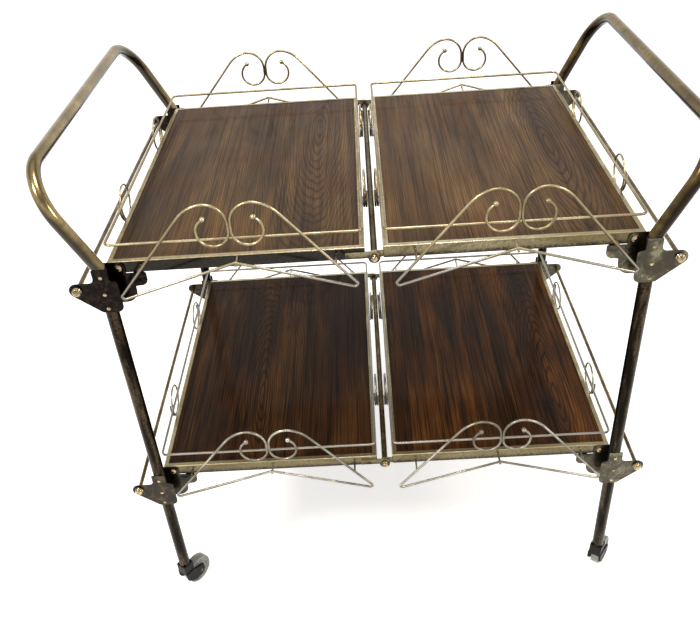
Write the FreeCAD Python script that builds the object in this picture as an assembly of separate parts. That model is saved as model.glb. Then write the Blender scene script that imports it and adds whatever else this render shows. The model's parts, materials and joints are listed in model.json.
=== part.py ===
import FreeCAD, Part
import os
from math import acos, atan2, ceil, cos, pi, radians, sin, tan
from FreeCAD import Vector

# A folding tea trolley: two tiers, each of two trays hinged in the middle, between two end frames on
# casters. The origin is on the floor under the middle, X runs from the left end to the right end, Y
# from the front to the back and Z up, in millimetres. Each half is drawn at the right end and at the
# front, and mirrored from there. "depth" is a distance from the middle plane y = 0, front or back.
# Round bar has twelve flats, to keep the model light: a bar lies inside its circle, a hole outside.

os.makedirs("parts", exist_ok=True)

# Tiers and trays
tier_levels = {"upper": 668.0, "lower": 288.0}   # tops of the tray rails above the floor
tray_length = 338.0
tray_depth = 540.0
centre_gap = 24.0
rail_height = 17.0
rail_sheet = 1.5
rail_top_lip = 5.0
rail_bottom_lip = 8.0
face_sink = 0.5           # the board's face below the rails' tops
face_gap = 0.2            # between that face's edge and the rails' top lips

# Gallery wire round each tray, carried by rings on the two end rails
wire = 3.0
gallery_rise = 24.0
gallery_corner = 8.0
ring_wire = 2.5
ring_radius = 26.0
ring_rise = 12.0
ring_spread = 125.0
ring_sides = 12

# End frames
leg_x = 356.0
leg_y = 280.0
tube_radius = 8.0
leg_foot = 64.0
bend_drop = 12.0          # the handle starts this far below the upper rails' tops
bend_rise = 6.0
bend_radius = 18.0
handle_lean = 67.0        # crossbar outboard of the legs
handle_rise = 127.0       # crossbar above the upper rails' tops
handle_corner = 66.0

# Corner brackets, tie rods and outer pivots, from a leg's axis and a tier's level
plate = 1.5
inner_plate_depth = 270.5
outer_plate_depth = 288.0
pivot_inboard = 20.0
pivot_drop = 9.0
pivot_radius = 3.0
pin_head_radius = 5.0
pin_head = 2.0
pin_reach = 6.0           # how far a pin's end goes into the board's pocket
pin_pocket = 8.0
pin_pocket_gap = 1.5
running_fit = 0.05
rod_outboard = 35.0
rod_drop = 30.0
rod_radius = 3.0
ear_radius = 10.5
nut_radius = 6.2
nut_height = 7.0
nut_flat = 0.6            # the share of the height below the dome, and the rod's length in the nut
nut_tip = 0.55            # the dome's top against the nut's radius
shelf_gap = 0.4
shelf_length = 14.0
shelf_depth = 10.0
shelf_inboard = 38.0

# Centre pivots
centre_pivot_drop = 15.5
strap_radius = 8.0
strap_sheet = 2.0
strap_lap = 26.0
strap_rise = 9.5

# Scrolls on the long sides: places in the plane of the scroll, from the tray's middle and its level
scroll_depth = {"left": 291.5, "right": 295.0}
foot_a, foot_z = 155.0, -48.0
curl_inner, curl_low_z, curl_high_z = 1.7, 49.5, 57.5
curl_low_radius = 22.4
curl_top_radius = 28.5
curl_end_radius = 14.5
arm_radius = 50.0
ball_radius = 3.75

# Casters
stem_radius = 4.0
stem_length = 30.0
block_size = 20.0
block_base = 51.0
block_gap = 0.5
wheel_radius = 25.0
wheel_width = 15.0
axle_radius = 2.5
caster_trail = 22.0
cheek_gap = 0.7
cheek_sheet = 1.8
boss_radius = 8.0
rest_turn = 55.0

bar_sides = 12
bend_step = 18
wheel_sides = 36

origin = Vector(0, 0, 0)
across = Vector(1, 0, 0)
along_depth = Vector(0, 1, 0)
pivot_x = leg_x - pivot_inboard
rod_x = leg_x + rod_outboard


def save(node, *solids):
    shape = solids[0] if len(solids) == 1 else Part.makeCompound(list(solids))
    shape.exportStep("parts/%s.step" % node)


def on_side(shape, side):
    # What is drawn at the right end, at the end that is asked for
    return shape if side == "right" else shape.mirror(origin, across)


def front_and_rear(shape):
    return shape, shape.mirror(origin, along_depth)


def at(x, z):
    return Vector(x, 0, z)


def on_circle(centre, radius, angle):
    return centre + Vector(cos(radians(angle)), 0, sin(radians(angle))) * radius


def tangent_angle(point, centre, radius, turn):
    # The angle on the circle where the straight run from the point touches it; turn is +1 or -1
    away = point - centre
    return (atan2(away.z, away.x) + turn * acos(radius / away.Length)) * 180 / pi


def arc_points(centre, radius, start, end, step=36):
    # A round stretch in short straight pieces
    pieces = ceil(abs(end - start) / step)
    return [on_circle(centre, radius, start + (end - start) * k / pieces) for k in range(pieces + 1)]


def outline(*corners):
    return Part.makePolygon(list(corners) + [corners[0]])


def front_sheet(wires, depth, thickness):
    # An outline of X and Z as sheet at the front, between two depths
    face = Part.Face(wires)
    face.translate(Vector(0, -depth, 0))
    return face.extrude(Vector(0, -thickness, 0))


def round_outline(centre, radius, sides=bar_sides):
    return Part.makePolygon([on_circle(centre, radius, 360 * k / sides) for k in range(sides + 1)])


def front_pin(x, z, radius, depth, length):
    return front_sheet(round_outline(at(x, z), radius), depth, length)


def front_hole(x, z, radius, depth, length):
    # A running hole: its flats stay outside the radius, and the fit is added
    return front_pin(x, z, (radius + running_fit) / cos(pi / bar_sides), depth, length)


def upright_bar(radius, length, place):
    corners = [place + Vector(cos(angle), sin(angle), 0) * radius for angle in full_turn(bar_sides)]
    return Part.Face(Part.makePolygon(corners)).extrude(Vector(0, 0, length))


def full_turn(sides):
    return [2 * pi * k / sides for k in range(sides + 1)]


def with_bends(points, radii):
    # The points of a bent bar: each inner corner becomes a bend of its radius, in steps
    path = [points[0]]
    for before, corner, after, radius in zip(points, points[1:], points[2:], radii):
        back = (before - corner).normalize()
        ahead = (after - corner).normalize()
        half_angle = back.getAngle(ahead) / 2
        centre = corner + (back + ahead).normalize() * (radius / sin(half_angle))
        inward = (corner - centre).normalize()
        sideways = (ahead - back).normalize()
        sweep = pi / 2 - half_angle
        pieces = ceil(2 * sweep / radians(bend_step))
        for k in range(pieces + 1):
            angle = sweep * (2 * k / pieces - 1)
            path.append(centre + (inward * cos(angle) + sideways * sin(angle)) * radius)
    return path + [points[-1]]


def bent_bar(path, radius):
    # A round bar along the path, mitred at each point, that starts out upward
    ring = [path[0] + Vector(cos(angle), sin(angle), 0) * radius for angle in full_turn(bar_sides)]
    rings = [ring]
    for k in range(1, len(path)):
        run = (path[k] - path[k - 1]).normalize()
        onward = (path[k + 1] - path[k]).normalize() if k + 1 < len(path) else run
        facing = run + onward
        ring = [corner + run * ((path[k] - corner).dot(facing) / run.dot(facing)) for corner in ring]
        rings.append(ring)
    return Part.makeLoft([Part.makePolygon(ring) for ring in rings], True, True)


# End frames

def leg(side, level):
    # A tube with a socket in its foot for the caster's stem
    foot = Vector(leg_x, -leg_y, leg_foot)
    socket_radius = (stem_radius + running_fit) / cos(pi / bar_sides)
    tube = upright_bar(tube_radius, level - bend_drop - leg_foot, foot)
    return on_side(tube.cut(upright_bar(socket_radius, stem_length + 2, foot)), side)


def handle(side, level):
    # A tube bent from the top of one leg over to the other, leaning outward
    base = level - bend_drop
    top = level + handle_rise
    points = [Vector(leg_x, -leg_y, base), Vector(leg_x, -leg_y, base + bend_rise),
              Vector(leg_x + handle_lean, -leg_y, top), Vector(leg_x + handle_lean, leg_y, top),
              Vector(leg_x, leg_y, base + bend_rise), Vector(leg_x, leg_y, base)]
    path = with_bends(points, [bend_radius, handle_corner, handle_corner, bend_radius])
    return on_side(bent_bar(path, tube_radius), side)


def outer_plate():
    # A kite-shaped plate: a neck round the leg's top, an ear for the tie rod and a foot down the leg
    ear = at(rod_outboard, -rod_drop)
    tip = at(8, -66)
    touch = tangent_angle(tip, ear, ear_radius, 1)
    belly = (on_circle(ear, ear_radius, touch) + tip) * 0.5 + Vector(1, 0, -1.2)
    return outline(at(-10.5, 0), at(10.5, 0), at(10.5, -13), at(12.5, -17.6), at(17, -19.5),
                   *arc_points(ear, ear_radius, 90, touch), belly, tip, at(-12, -66), at(-18, -63),
                   at(-20.5, -57), at(-20.5, -21), at(-13.5, -18), at(-10.5, -11))


def inner_plate():
    # Behind the leg: a boss for the tray's pivot and a lobe that reaches under the rail
    pivot = at(-pivot_inboard, -pivot_drop)
    shelf = -rail_height - shelf_gap
    return outline(at(10.5, 0), at(10.5, -52), at(7.5, -59.5), at(0, -62.5), at(-20, -62.5), at(-31, -56),
                   at(-37, -50), at(-38.5, -42), at(-40, -38), at(-46, -37), at(-52.5, -33),
                   at(-55, -26), at(-55, shelf), at(-29, shelf), *arc_points(pivot, 9, 180, 90))


def placed(shape, level):
    return shape.translated(Vector(leg_x, 0, level))


def outer_plates(side, level):
    sheet = placed(front_sheet(outer_plate(), outer_plate_depth, plate), level)
    hole = front_pin(rod_x, level - rod_drop, rod_radius, outer_plate_depth, plate)
    return front_and_rear(on_side(sheet.cut(hole), side))


def inner_plates(side, level):
    sheet = placed(front_sheet(inner_plate(), inner_plate_depth, plate), level)
    hole = front_pin(pivot_x, level - pivot_drop, pivot_radius, inner_plate_depth, plate)
    corner = Vector(-shelf_inboard - shelf_length, -inner_plate_depth - plate,
                    -rail_height - shelf_gap - plate)
    shelf = Part.makeBox(shelf_length, shelf_depth, plate, corner)
    return front_and_rear(on_side(sheet.cut(hole).fuse(placed(shelf, level)), side))


def pivot_pin(side, level):
    # Fixed in the inner plate, it turns in the rail and ends in the board's pocket
    z = level - pivot_drop
    end_depth = tray_depth / 2 - pin_reach
    shank = front_pin(pivot_x, z, pivot_radius, end_depth, inner_plate_depth + plate - end_depth)
    head = front_pin(pivot_x, z, pin_head_radius, inner_plate_depth + plate, pin_head)
    return front_and_rear(on_side(shank.fuse(head), side))


def through_rod(x, z, half_length):
    return front_pin(x, z, rod_radius, -half_length, 2 * half_length)


def cap_nut(x, z, depth):
    # A six-sided cap nut over the end of a rod
    layers = []
    for radius, rise in ((nut_radius, 0), (nut_radius, nut_flat), (nut_radius * nut_tip, 1)):
        layer = round_outline(at(x, z), radius, 6)
        layers.append(layer.translated(Vector(0, -depth - nut_height * rise, 0)))
    bore = front_pin(x, z, rod_radius, depth, nut_height * nut_flat)
    return front_and_rear(Part.makeLoft(layers, True, True).cut(bore))


def tie_rod(side, level):
    half_length = outer_plate_depth + plate + nut_height * nut_flat
    return on_side(through_rod(rod_x, level - rod_drop, half_length), side)


def rod_nuts(side):
    nuts = []
    for level in tier_levels.values():
        nuts += cap_nut(rod_x, level - rod_drop, outer_plate_depth + plate)
    return [on_side(nut, side) for nut in nuts]


# Trays

def tray_box(inset, bottom, top, level):
    # A block as large as the tray, less the inset on all four sides
    corner = Vector(centre_gap / 2 + inset, inset - tray_depth / 2, level + bottom)
    return Part.makeBox(tray_length - 2 * inset, tray_depth - 2 * inset, top - bottom, corner)


def rail_frame(side, level):
    # Rails of channel, open inward, that hold the board between their lips
    frame = tray_box(0, -rail_height, 0, level)
    frame = frame.cut(tray_box(rail_sheet, rail_sheet - rail_height, -rail_sheet, level))
    frame = frame.cut(tray_box(rail_top_lip, -rail_sheet, 0, level))
    frame = frame.cut(tray_box(rail_bottom_lip, -rail_height, rail_sheet - rail_height, level))
    hole = front_hole(pivot_x, level - pivot_drop, pivot_radius, tray_depth / 2 - rail_sheet, rail_sheet)
    for pivot_hole in front_and_rear(hole):
        frame = frame.cut(pivot_hole)
    return on_side(frame, side)


def board(side, level):
    # Its edge is rebated under the rails' top lips, and its face stands up between them
    panel = tray_box(rail_sheet, rail_sheet - rail_height, -rail_sheet, level)
    panel = panel.fuse(tray_box(rail_top_lip + face_gap, -rail_sheet, -face_sink, level))
    pocket = front_pin(pivot_x, level - pivot_drop, pivot_radius + pin_pocket_gap,
                       tray_depth / 2 - rail_sheet - pin_pocket, pin_pocket)
    for one_pocket in front_and_rear(pocket):
        panel = panel.cut(one_pocket)
    return on_side(panel, side)


def wire_ring(x, level):
    discs = []
    for radius in (ring_radius + ring_wire / 2, ring_radius - ring_wire / 2):
        rim = Part.makePolygon([Vector(x, radius * cos(angle), radius * sin(angle))
                                for angle in full_turn(ring_sides)])
        discs.append(Part.Face(rim).extrude(Vector(ring_wire, 0, 0)))
    return discs[0].cut(discs[1]).translated(Vector(0, -ring_spread, level + ring_rise))


def wire_runs(corners, width):
    # A closed loop of flat-sided wire, one piece to each run, mitred at the corners
    runs = []
    for k, start in enumerate(corners):
        end = corners[(k + 1) % len(corners)]
        before = corners[k - 1]
        after = corners[(k + 2) % len(corners)]
        mitres = inset_corner(before, start, end, width), inset_corner(start, end, after, width)
        face = Part.Face(Part.makePolygon([start, end, mitres[1], mitres[0], start]))
        runs.append(face.extrude(Vector(0, 0, width)))
    return runs


def inset_corner(before, corner, after, width):
    # The inner corner of the wire, for a loop that runs anticlockwise
    back = (before - corner).normalize()
    ahead = (after - corner).normalize()
    return corner + (back + ahead).normalize() * (width / sin(back.getAngle(ahead) / 2))


def gallery(side, level):
    # A closed loop of wire above the rails' edges, with the rings that carry it
    x = (centre_gap / 2, centre_gap / 2 + tray_length)
    y = (-tray_depth / 2, tray_depth / 2)
    cut = gallery_corner
    z = level + gallery_rise - wire / 2
    corners = [Vector(x[0] + cut, y[0], z), Vector(x[1] - cut, y[0], z), Vector(x[1], y[0] + cut, z),
               Vector(x[1], y[1] - cut, z), Vector(x[1] - cut, y[1], z), Vector(x[0] + cut, y[1], z),
               Vector(x[0], y[1] - cut, z), Vector(x[0], y[0] + cut, z)]
    pieces = wire_runs(corners, wire)
    for ring_x in (x[0] - ring_wire, x[1]):
        pieces += front_and_rear(wire_ring(ring_x, level))
    return [on_side(piece, side) for piece in pieces]


def scroll_half():
    # From the middle down to the foot, up the arm, over the curl and round to its ball
    foot = at(foot_a, foot_z)
    top_centre = at(curl_inner + curl_top_radius, curl_high_z)
    arm_start = 75
    arm_centre = on_circle(top_centre, curl_top_radius - arm_radius, arm_start)
    arm_end = tangent_angle(foot, arm_centre, arm_radius, 1)
    low_centre = at(curl_inner + curl_low_radius, curl_low_z)
    end_centre = on_circle(low_centre, curl_low_radius - curl_end_radius, 0)
    return ([at(0, 0), foot + Vector(-6, 0, 1.6), foot + Vector(0, 0, 1.6), foot + Vector(-3, 0, 6)]
            + arc_points(arm_centre, arm_radius, arm_end, arm_start)[:-1]
            + arc_points(top_centre, curl_top_radius, arm_start, 180)
            + arc_points(low_centre, curl_low_radius, 180, 360)
            + arc_points(end_centre, curl_end_radius, 0, 90)[1:])


def strip(points, half_width):
    # The outline of a wire of even width laid along the points, mitred at each
    sides = []
    for side in (1, -1):
        edge_points = []
        for k, point in enumerate(points):
            before = (point - points[max(k - 1, 0)])
            after = (points[min(k + 1, len(points) - 1)] - point)
            before = (before if k > 0 else after).normalize()
            after = (after if k < len(points) - 1 else before).normalize()
            normal = Vector(-before.z - after.z, 0, before.x + after.x).normalize()
            stretch = max(normal.dot(Vector(-before.z, 0, before.x)), 0.35)
            edge_points.append(point + normal * (side * half_width / stretch))
        sides.append(edge_points)
    return Part.makePolygon(sides[0] + sides[1][::-1] + sides[0][:1])


def scroll(side, level):
    half = scroll_half()
    other_half = [at(-point.x, point.z) for point in half[:0:-1]]
    depth = scroll_depth[side]
    rail_face = tray_depth / 2
    solid = front_sheet(strip(other_half + half, wire / 2), depth, wire)
    ball = half[-1]
    foot, arm = half[3], half[4]
    stud_z = -rail_height / 2
    stud_a = foot.x + (arm.x - foot.x) * (stud_z - foot.z) / (arm.z - foot.z)
    for a, z in ((0, -wire), (stud_a, stud_z), (-stud_a, stud_z)):
        solid = solid.fuse(Part.makeBox(wire, depth + wire / 2 - rail_face, wire,
                                        Vector(a - wire / 2, -depth - wire / 2, z - wire / 2)))
    for a in (ball.x, -ball.x):
        knob = round_outline(at(a, ball.z + ball_radius - wire / 2), ball_radius, 6)
        solid = solid.fuse(front_sheet(knob, depth + wire / 2 - ball_radius, 2 * ball_radius))
    middle = (centre_gap + tray_length) / 2
    return on_side(solid.translated(Vector(middle, 0, level)), side)


def straps(side, level):
    # Lugs at the inner end of a tray. The left tray's lie on the rails' faces and hold the centre rod,
    # and the right tray's stand on its end rail, just inside the left ones, and turn on the rod.
    outer = side == "left"
    depth = tray_depth / 2 if outer else tray_depth / 2 - 0.3 - strap_sheet
    length = centre_gap / 2 + (strap_lap if outer else 0)
    z = level - centre_pivot_drop
    bar = Part.makeBox(length, strap_sheet, strap_rise, Vector(0, -depth - strap_sheet, z))
    lug = bar.fuse(front_pin(0, z, strap_radius, depth, strap_sheet))
    hole = front_pin if outer else front_hole
    lug = lug.cut(hole(0, z, rod_radius, depth, strap_sheet))
    return front_and_rear(on_side(lug, side))


# Casters

def caster_fork():
    # A square block under the leg with a stem up into it, and two cheeks down to the axle
    half = block_size / 2
    block = Part.makeBox(block_size, block_size, leg_foot - block_gap - block_base,
                         Vector(-half, -half, block_base))
    fork = block.fuse(upright_bar(stem_radius, stem_length, Vector(0, 0, leg_foot - block_gap)))
    axle = at(caster_trail, wheel_radius)
    inside = wheel_width / 2 + cheek_gap
    cheek = outline(at(-half, block_base + 3), at(half, block_base + 3),
                    *arc_points(axle, boss_radius, 25, -120), at(-half + 2, 34), at(-half, 38))
    for sheet in front_and_rear(front_sheet(cheek, inside, cheek_sheet)):
        fork = fork.fuse(sheet)
    pin = front_pin(axle.x, axle.z, axle_radius, -inside - cheek_sheet, 2 * (inside + cheek_sheet))
    return fork.fuse(pin)


def caster_wheel():
    hub = at(caster_trail, wheel_radius)
    disc = front_sheet(round_outline(hub, wheel_radius, wheel_sides), -wheel_width / 2, wheel_width)
    return disc.cut(front_hole(hub.x, hub.z, axle_radius, -wheel_width / 2, wheel_width))


def caster_place(shape, side, row):
    sign = 1 if row == "rear" else -1
    turned = shape.rotated(origin, Vector(0, 0, 1), -sign * rest_turn)
    return turned.translated(Vector(leg_x if side == "right" else -leg_x, sign * leg_y, 0))


for side in ("left", "right"):
    front_leg, rear_leg = front_and_rear(leg(side, tier_levels["upper"]))
    save("leg_%s_front" % side, front_leg)
    save("leg_%s_rear" % side, rear_leg)
    save("handle_%s" % side, handle(side, tier_levels["upper"]))
    save("rod_nuts_%s" % side, *rod_nuts(side))
    pins = [pin for level in tier_levels.values() for pin in pivot_pin(side, level)]
    save("pivot_pins_%s" % side, *pins)
    for row in ("front", "rear"):
        save("caster_fork_%s_%s" % (side, row), caster_place(caster_fork(), side, row))
        save("caster_wheel_%s_%s" % (side, row), caster_place(caster_wheel(), side, row))
    for tier, level in tier_levels.items():
        save("outer_plates_%s_%s" % (tier, side), *outer_plates(side, level))
        save("inner_plates_%s_%s" % (tier, side), *inner_plates(side, level))
        save("tie_rod_%s_%s" % (tier, side), tie_rod(side, level))
        save("frame_%s_%s" % (tier, side), rail_frame(side, level))
        save("board_%s_%s" % (tier, side), board(side, level))
        save("gallery_%s_%s" % (tier, side), *gallery(side, level))
        save("straps_%s_%s" % (tier, side), *straps(side, level))
        front_scroll, rear_scroll = front_and_rear(scroll(side, level))
        save("scroll_%s_%s_front" % (tier, side), front_scroll)
        save("scroll_%s_%s_rear" % (tier, side), rear_scroll)

for tier, level in tier_levels.items():
    strap_face = tray_depth / 2 + strap_sheet
    z = level - centre_pivot_drop
    save("centre_rod_%s" % tier, through_rod(0, z, strap_face + nut_height * nut_flat))
    save("centre_nuts_%s" % tier, *cap_nut(0, z, strap_face))
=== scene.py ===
import bpy
import json
from math import acos, atan2, ceil, cos, pi, radians, sin, tan
from mathutils import Matrix, Vector


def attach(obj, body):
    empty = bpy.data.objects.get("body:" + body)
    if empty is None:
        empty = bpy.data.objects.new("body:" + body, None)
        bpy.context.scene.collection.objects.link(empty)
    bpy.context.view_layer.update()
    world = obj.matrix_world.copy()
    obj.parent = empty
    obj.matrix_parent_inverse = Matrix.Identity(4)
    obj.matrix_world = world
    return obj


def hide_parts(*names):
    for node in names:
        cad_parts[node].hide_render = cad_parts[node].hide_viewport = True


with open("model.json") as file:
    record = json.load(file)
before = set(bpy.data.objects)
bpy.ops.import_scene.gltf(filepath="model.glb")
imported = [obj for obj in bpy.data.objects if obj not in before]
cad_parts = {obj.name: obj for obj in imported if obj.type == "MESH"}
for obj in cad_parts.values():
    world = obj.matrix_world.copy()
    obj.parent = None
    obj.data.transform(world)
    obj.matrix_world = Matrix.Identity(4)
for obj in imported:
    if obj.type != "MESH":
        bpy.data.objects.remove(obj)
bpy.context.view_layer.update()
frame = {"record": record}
bpy.ops.object.select_all(action="DESELECT")
print("frame loaded")

# Sizes are in millimetres in the dictionaries and become metres where a piece is made.
# Each piece is drawn once, at the right end, the front and the upper tier, and copied from there.
tierDrop = {"upper": 0, "lower": -380}  # from the upper tier's level
upperLevel = 668
ends = ("left", "right")
rows = ("front", "rear")
toFront, toRear, toTop = Vector((0, -1, 0)), Vector((0, 1, 0)), Vector((0, 0, 1))
mergeWithin = 1e-6  # metres, points nearer than this become one
bodyOf = {node: body for body, members in frame["record"]["behaviour"]["bodies"].items()
          for node in members}


def spot(x, y, z):
    return Vector((x, y, z)) * 0.001


def mm(value):
    return value * 0.001


# the steps that open, select and finish a mesh
def makeActive(piece):
    bpy.ops.object.select_all(action="DESELECT")
    bpy.context.view_layer.objects.active = piece
    piece.select_set(True)


def openMesh(piece, kind="VERT"):
    makeActive(piece)
    bpy.ops.object.mode_set(mode="EDIT")
    bpy.ops.mesh.select_mode(type=kind)
    bpy.ops.mesh.select_all(action="SELECT")


def closeMesh():
    bpy.ops.object.mode_set(mode="OBJECT")


def pick(piece, kind, test):
    # opens the mesh with only what passes the test selected
    openMesh(piece, kind)
    bpy.ops.mesh.select_all(action="DESELECT")
    closeMesh()
    mesh = piece.data
    for part in {"VERT": mesh.vertices, "EDGE": mesh.edges, "FACE": mesh.polygons}[kind]:
        part.select = test(part)
    bpy.ops.object.mode_set(mode="EDIT")


def edgeEnds(piece, edge):
    return [piece.data.vertices[index].co for index in edge.vertices]


def extrude(x, y, z):
    bpy.ops.mesh.extrude_region_move(TRANSFORM_OT_translate={"value": spot(x, y, z)})


def useModifier(piece, kind, **settings):
    makeActive(piece)
    modifier = piece.modifiers.new(kind.title(), kind)
    for name, value in settings.items():
        setattr(modifier, name, value)
    bpy.ops.object.modifier_apply(modifier=modifier.name)


def softenEdges(piece, width, segments=2):
    useModifier(piece, "BEVEL", width=mm(width), segments=segments, limit_method="ANGLE",
                angle_limit=radians(30))


def settle(piece):
    # the place, turn and scale go into the mesh
    makeActive(piece)
    bpy.ops.object.transform_apply(location=True, rotation=True, scale=True)
    return piece


def faceOutward(piece):
    openMesh(piece)
    bpy.ops.mesh.normals_make_consistent(inside=False)
    closeMesh()


# wire, tube, sheet and turned pieces start as one point that is pulled and spun into a path
def startPath(name, point):
    bpy.ops.mesh.primitive_plane_add(size=mm(1), location=point)
    piece = bpy.context.object
    piece.name = name
    openMesh(piece)
    bpy.ops.mesh.merge(type="CENTER")
    return piece


def pull(step):
    if step.length > 1e-7:  # a run of no length adds no point
        bpy.ops.mesh.extrude_region_move(TRANSFORM_OT_translate={"value": step})


def swing(centre, axis, angle, stride=9):
    # with no window the spin turns the other way, so the angle is negative
    steps = max(2, ceil(abs(angle) / radians(stride)))
    bpy.ops.mesh.spin(steps=steps, angle=-angle, center=centre, axis=axis)


def drawPath(name, corners, radii, closed=False, stride=9):
    # pulled along the straight runs and spun round the bends
    corners = [Vector(corner) for corner in corners]
    if closed:
        start = (corners[-1] + corners[0]) / 2
        corners = [start] + corners + [start]
    piece = startPath(name, corners[0])
    here = corners[0]
    for before, corner, after, radius in zip(corners, corners[1:], corners[2:], radii):
        back = (before - corner).normalized()
        ahead = (after - corner).normalized()
        half = back.angle(ahead) / 2
        reach = mm(radius) / tan(half)
        pull(corner + back * reach - here)
        if radius > 0:
            hub = corner + (back + ahead).normalized() * (mm(radius) / sin(half))
            swing(hub, back.cross(ahead) * -1, pi - 2 * half, stride)
        here = corner + ahead * reach
    pull(corners[-1] - here)
    if closed:
        bpy.ops.mesh.select_all(action="SELECT")
        bpy.ops.mesh.remove_doubles(threshold=mergeWithin)
    closeMesh()
    return piece


def giveThickness(piece, radius, sides=12):
    # the path as round bar: a bevel of resolution n has 2 n + 4 sides
    makeActive(piece)
    bpy.ops.object.convert(target="CURVE")
    piece.data.bevel_depth = mm(radius)
    piece.data.bevel_resolution = (sides - 4) // 2
    piece.data.use_fill_caps = True
    bpy.ops.object.convert(target="MESH")
    return bpy.context.object


def cutSheet(name, outline, depth, thickness, edge=0.35):
    # an outline of x, z and corner radius as sheet that faces the front
    piece = drawPath(name, [spot(x, -depth, z) for x, z, radius in outline],
                     [radius for x, z, radius in outline], closed=True, stride=12)
    openMesh(piece)
    bpy.ops.mesh.edge_face_add()
    extrude(0, -thickness, 0)
    closeMesh()
    faceOutward(piece)
    softenEdges(piece, edge)
    return settle(piece)


def turnedPiece(name, profile, centre, axis, steps=32):
    # a profile of (along the axis, radius) spun round the axis
    side = toTop if abs(axis.z) < 0.5 else Vector((1, 0, 0))
    corners = [centre + axis * mm(along) + side * mm(radius) for along, radius in profile]
    piece = startPath(name, corners[0])
    for here, after in zip(corners, corners[1:]):
        pull(after - here)
    bpy.ops.mesh.select_all(action="SELECT")
    bpy.ops.mesh.spin(steps=steps, angle=2 * pi, center=centre, axis=axis)
    bpy.ops.mesh.select_all(action="SELECT")
    bpy.ops.mesh.remove_doubles(threshold=mergeWithin)
    bpy.ops.mesh.normals_make_consistent(inside=False)
    closeMesh()
    return settle(piece)


def bothEnds(half):
    # the whole profile of a piece with two like ends, from one half
    return [(-along, radius) for along, radius in half] + half[::-1]


# masters are copied to each end, row and tier, and finished there
def placedCopy(master, side="right", row="front", shift=(0, 0, 0), turn=0):
    makeActive(master)
    bpy.ops.object.duplicate(linked=False)
    piece = bpy.context.object
    flip = Matrix.Diagonal((-1 if side == "left" else 1, -1 if row == "rear" else 1, 1, 1))
    piece.matrix_world = flip @ Matrix.Translation(spot(*shift)) @ Matrix.Rotation(turn, 4, "Z")
    return settle(piece)


def joined(pieces):
    makeActive(pieces[0])
    for piece in pieces[1:]:
        piece.select_set(True)
    if len(pieces) > 1:
        bpy.ops.object.join()
    return bpy.context.object


def frontAndRear(master, side, drop):
    return joined([placedCopy(master, side, row, (0, 0, drop)) for row in rows])


def finishPiece(piece, name, material, node=None, body=None, smooth=40):
    piece.name = name
    piece.data.name = name
    faceOutward(piece)
    makeActive(piece)
    bpy.ops.object.shade_smooth_by_angle(angle=radians(smooth))
    useModifier(piece, "WEIGHTED_NORMAL", keep_sharp=True)  # keeps broad faces flat at soft edges
    piece.data.materials.clear()
    piece.data.materials.append(material)
    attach(piece, body or bodyOf[node])
    if node:
        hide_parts(node)
    return piece


def dropMasters(*masters):
    for master in masters:
        bpy.data.objects.remove(master)


def ink(code):
    # an sRGB hex value as the linear colour that a node takes
    parts = [int(code[k:k + 2], 16) / 255 for k in (1, 3, 5)]
    return [p / 12.92 if p <= 0.04045 else ((p + 0.055) / 1.055) ** 2.4 for p in parts] + [1]


def setNode(tree, node, settings=None, links=None):
    # a setting is a ramp's stops, a range with its two results, a socket's value or a property
    for name, value in (settings or {}).items():
        if name == "stops":
            ramp = node.color_ramp
            while len(ramp.elements) < len(value):
                ramp.elements.new(0.5)
            for element, (position, colour) in zip(ramp.elements, value):
                element.position = position
                element.color = ink(colour)
        elif name == "range":
            for socket, number in zip(("From Min", "From Max", "To Min", "To Max"), value):
                node.inputs[socket].default_value = number
        elif isinstance(name, int) or name in node.inputs:
            node.inputs[name].default_value = value
        else:
            setattr(node, name, value)
    for name, source in (links or {}).items():
        tree.links.new(source, node.inputs[name])
    return node


def addNode(tree, kind, settings=None, links=None):
    return setNode(tree, tree.nodes.new("ShaderNode" + kind), settings, links)


def newMaterial(name):
    material = bpy.data.materials.new(name)
    material.use_nodes = True
    tree = material.node_tree
    tree.nodes.clear()
    shader = addNode(tree, "BsdfPrincipled")
    addNode(tree, "OutputMaterial", links={"Surface": shader.outputs["BSDF"]})
    place = addNode(tree, "TexCoord").outputs["Object"]
    return material, tree, shader, place


# Object coordinates are in metres, so a pattern of a size in millimetres has the scale 1000 / size.
# The relief is drawn coarser than real grit, which would be too fine to show.
wear = {"speck": 4.5, "relief": 1.6, "bareFrom": 668, "bareTo": 650, "railFoot": 651,
        "footBandTop": 12.5, "footBandLow": 8.5, "footBandTear": 30, "footTone": "#1c150d"}
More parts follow.
